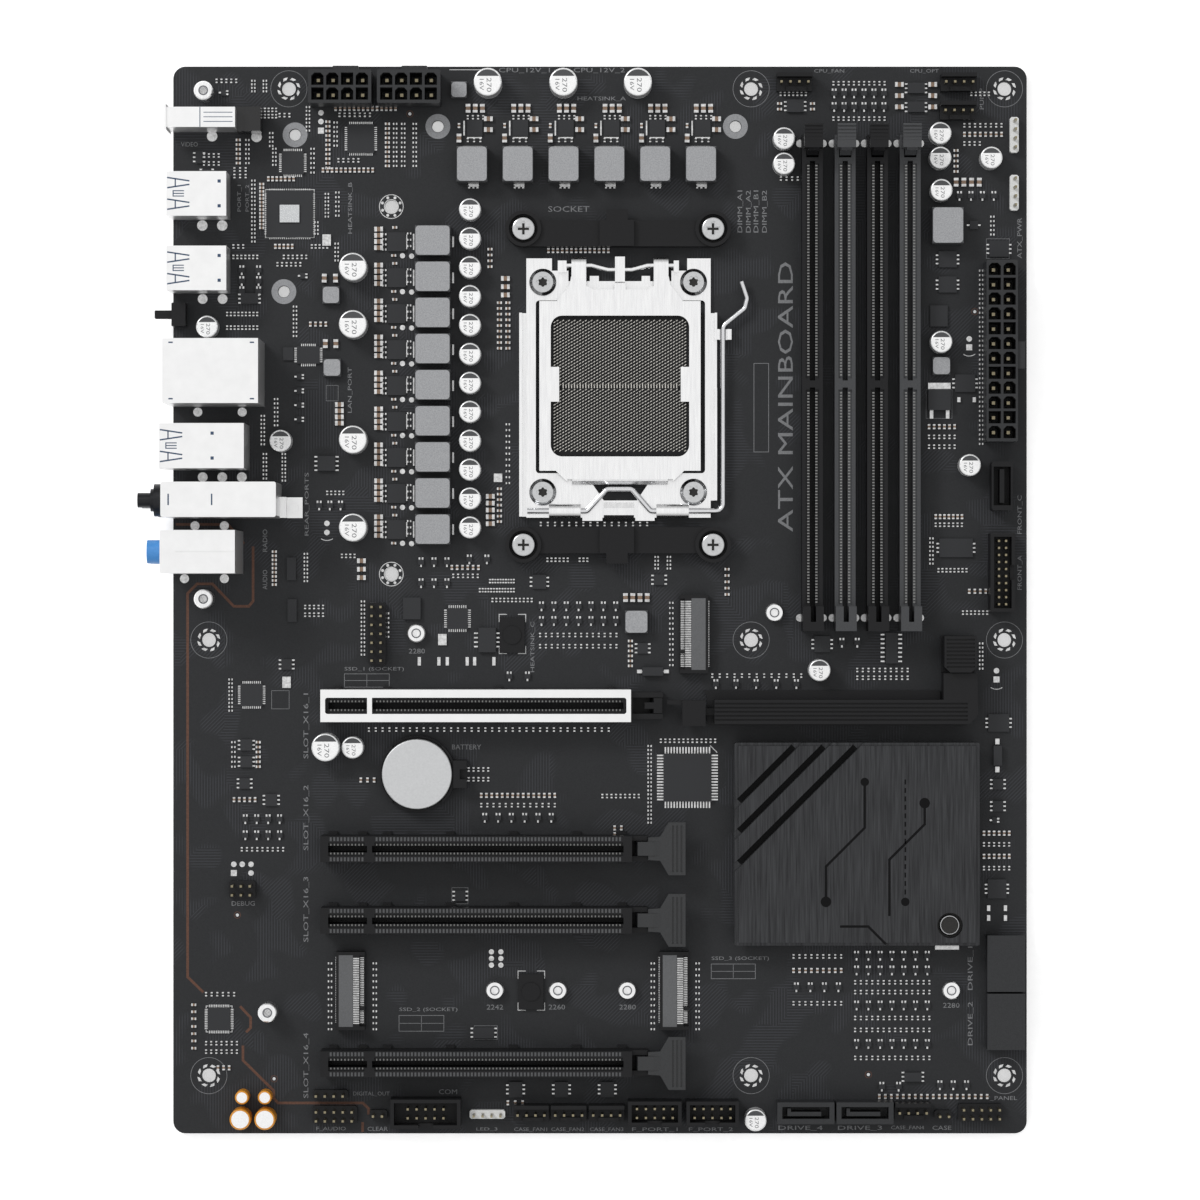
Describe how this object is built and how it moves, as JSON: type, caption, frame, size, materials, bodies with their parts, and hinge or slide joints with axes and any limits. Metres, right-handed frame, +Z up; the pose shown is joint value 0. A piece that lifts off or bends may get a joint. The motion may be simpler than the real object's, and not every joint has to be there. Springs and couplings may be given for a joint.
{
  "type": "motherboard",
  "caption": "Full-size desktop computer mainboard with processor socket, memory and expansion slots, rear ports, power headers and chipset heatsink.",
  "frame": {"origin": "centre of the datum mounting hole at the board's underside, 10.16 mm from the rear edge and 288.29 mm from the top edge", "axes": "+Z up from the component side, +X from the rear ports towards the power header edge, +Y from the expansion slots towards the processor socket's edge"},
  "size_m": [0.2522, 0.3048, 0.0362],
  "materials": {
    "black_aluminium": "black anodised, brushed",
    "black_nylon": "moulded, fine texture",
    "black_steel": "black zinc",
    "blue_plastic": "moulded",
    "can_aluminium": "drawn can",
    "cell_steel": "pressed stainless can",
    "epoxy": "moulded epoxy",
    "ferrite": "pressed iron powder, grey coat",
    "gold_sleeve": "gold sleeve, white top",
    "gray_nylon": "moulded, fine texture",
    "pin_gold": "plated pins",
    "port_shell": "tin plated sheet",
    "silicone": "soft pad",
    "solder_mask": "satin black solder mask",
    "stamped_steel": "nickel plated, bright",
    "white_nylon": "moulded",
    "wire_steel": "polished wire"
  },
  "bodies": {
    "board": {"antenna_posts": "black_nylon", "audio_bezels": "blue_plastic", "audio_capacitors": "gold_sleeve", "audio_jacks": "port_shell", "boxed_headers": "black_nylon", "cell_holder": "black_nylon", "chips": "epoxy", "chipset": "epoxy", "chipset_heatsink": "black_aluminium", "chokes": "ferrite", "circuit_board": "solder_mask", "coin_cell": "cell_steel", "cooler_bracket_bottom": "black_nylon", "cooler_bracket_top": "black_nylon", "cross_head_screws": "wire_steel", "display_port": "port_shell", "drive_ports": "black_nylon", "drive_sockets": "black_nylon", "expansion_slot_2": "black_nylon", "expansion_slot_3": "black_nylon", "expansion_slot_4": "black_nylon", "front_port_header": "port_shell", "graphics_slot": "black_nylon", "graphics_slot_shield": "stamped_steel", "header_pins": "pin_gold", "light_headers": "white_nylon", "memory_slot_1": "black_nylon", "memory_slot_2": "gray_nylon", "memory_slot_3": "black_nylon", "memory_slot_4": "gray_nylon", "network_port": "port_shell", "pin_headers": "black_nylon", "polymer_capacitors": "can_aluminium", "port_stack_1": "port_shell", "port_stack_2": "port_shell", "port_stack_3": "port_shell", "power_headers": "black_nylon", "release_cover": "black_nylon", "socket_backplate": "black_steel", "socket_body": "black_nylon", "socket_frame": "stamped_steel", "socket_screws": "wire_steel", "standoffs": "stamped_steel", "support_pads": "silicone", "thermal_pad": "silicone", "update_switch": "black_nylon", "wireless_cage": "port_shell"},
    "load_plate": {"load_plate": "stamped_steel"},
    "load_lever": {"load_lever": "wire_steel"},
    "graphics_slot_latch": {"graphics_slot_latch": "gray_nylon"},
    "release_button": {"release_button": "black_nylon"},
    "release_rod": {"release_rod": "black_nylon"},
    "update_plunger": {"update_plunger": "black_nylon"},
    "memory_latch_1": {"memory_latch_1": "black_nylon"},
    "memory_latch_2": {"memory_latch_2": "gray_nylon"},
    "memory_latch_3": {"memory_latch_3": "black_nylon"},
    "memory_latch_4": {"memory_latch_4": "gray_nylon"},
    "expansion_latch_2": {"expansion_latch_2": "black_nylon"},
    "expansion_latch_3": {"expansion_latch_3": "black_nylon"},
    "expansion_latch_4": {"expansion_latch_4": "black_nylon"}
  },
  "joints": [
    {"name": "load_plate_hinge", "type": "hinge", "parent": "board", "child": "load_plate", "pos_m": [0.11744, 0.23129, 0.0049], "axis": [-1, 0, 0], "range_deg": [0, 118]},
    {"name": "load_lever_hinge", "type": "hinge", "parent": "board", "child": "load_lever", "pos_m": [0.11744, 0.16129, 0.0046], "axis": [1, 0, 0], "range_deg": [0, 125]},
    {"name": "memory_latch_1_hinge", "type": "hinge", "parent": "board", "child": "memory_latch_1", "pos_m": [0.17214, 0.26389, 0.0046], "axis": [-1, 0, 0], "range_deg": [0, 26]},
    {"name": "memory_latch_2_hinge", "type": "hinge", "parent": "board", "child": "memory_latch_2", "pos_m": [0.18144, 0.26389, 0.0046], "axis": [-1, 0, 0], "range_deg": [0, 26]},
    {"name": "memory_latch_3_hinge", "type": "hinge", "parent": "board", "child": "memory_latch_3", "pos_m": [0.19064, 0.26389, 0.0046], "axis": [-1, 0, 0], "range_deg": [0, 26]},
    {"name": "memory_latch_4_hinge", "type": "hinge", "parent": "board", "child": "memory_latch_4", "pos_m": [0.19994, 0.26389, 0.0046], "axis": [-1, 0, 0], "range_deg": [0, 26]},
    {"name": "expansion_latch_2_hinge", "type": "hinge", "parent": "board", "child": "expansion_latch_2", "pos_m": [0.12344, 0.06525, 0.0056], "axis": [0, 1, 0], "range_deg": [0, 16], "stiffness_Nm_per_rad": 0.02, "springref_deg": -2.86},
    {"name": "expansion_latch_3_hinge", "type": "hinge", "parent": "board", "child": "expansion_latch_3", "pos_m": [0.12344, 0.04493, 0.0056], "axis": [0, 1, 0], "range_deg": [0, 16], "stiffness_Nm_per_rad": 0.02, "springref_deg": -2.86},
    {"name": "expansion_latch_4_hinge", "type": "hinge", "parent": "board", "child": "expansion_latch_4", "pos_m": [0.12344, 0.00429, 0.0056], "axis": [0, 1, 0], "range_deg": [0, 16], "stiffness_Nm_per_rad": 0.02, "springref_deg": -2.86},
    {"name": "release_button_slide", "type": "slide", "parent": "board", "child": "release_button", "axis": [0, 0, -1], "range_m": [0, 0.003], "stiffness_N_per_m": 250, "springref_m": -0.001},
    {"name": "release_rod_slide", "type": "slide", "parent": "board", "child": "release_rod", "axis": [1, 0, 0], "range_m": [0, 0.002]},
    {"name": "graphics_slot_latch_hinge", "type": "hinge", "parent": "board", "child": "graphics_slot_latch", "pos_m": [0.12744, 0.10589, 0.0039], "axis": [0, 1, 0], "range_deg": [0, 12]},
    {"name": "update_plunger_slide", "type": "slide", "parent": "board", "child": "update_plunger", "axis": [1, 0, 0], "range_m": [0, 0.0005], "stiffness_N_per_m": 400, "springref_m": -0.0005}
  ],
  "couplings": [
    {"joint": "release_rod_slide", "follows": "release_button_slide", "ratio": 0.66},
    {"joint": "graphics_slot_latch_hinge", "follows": "release_button_slide", "rad_per_m": 69}
  ]
}
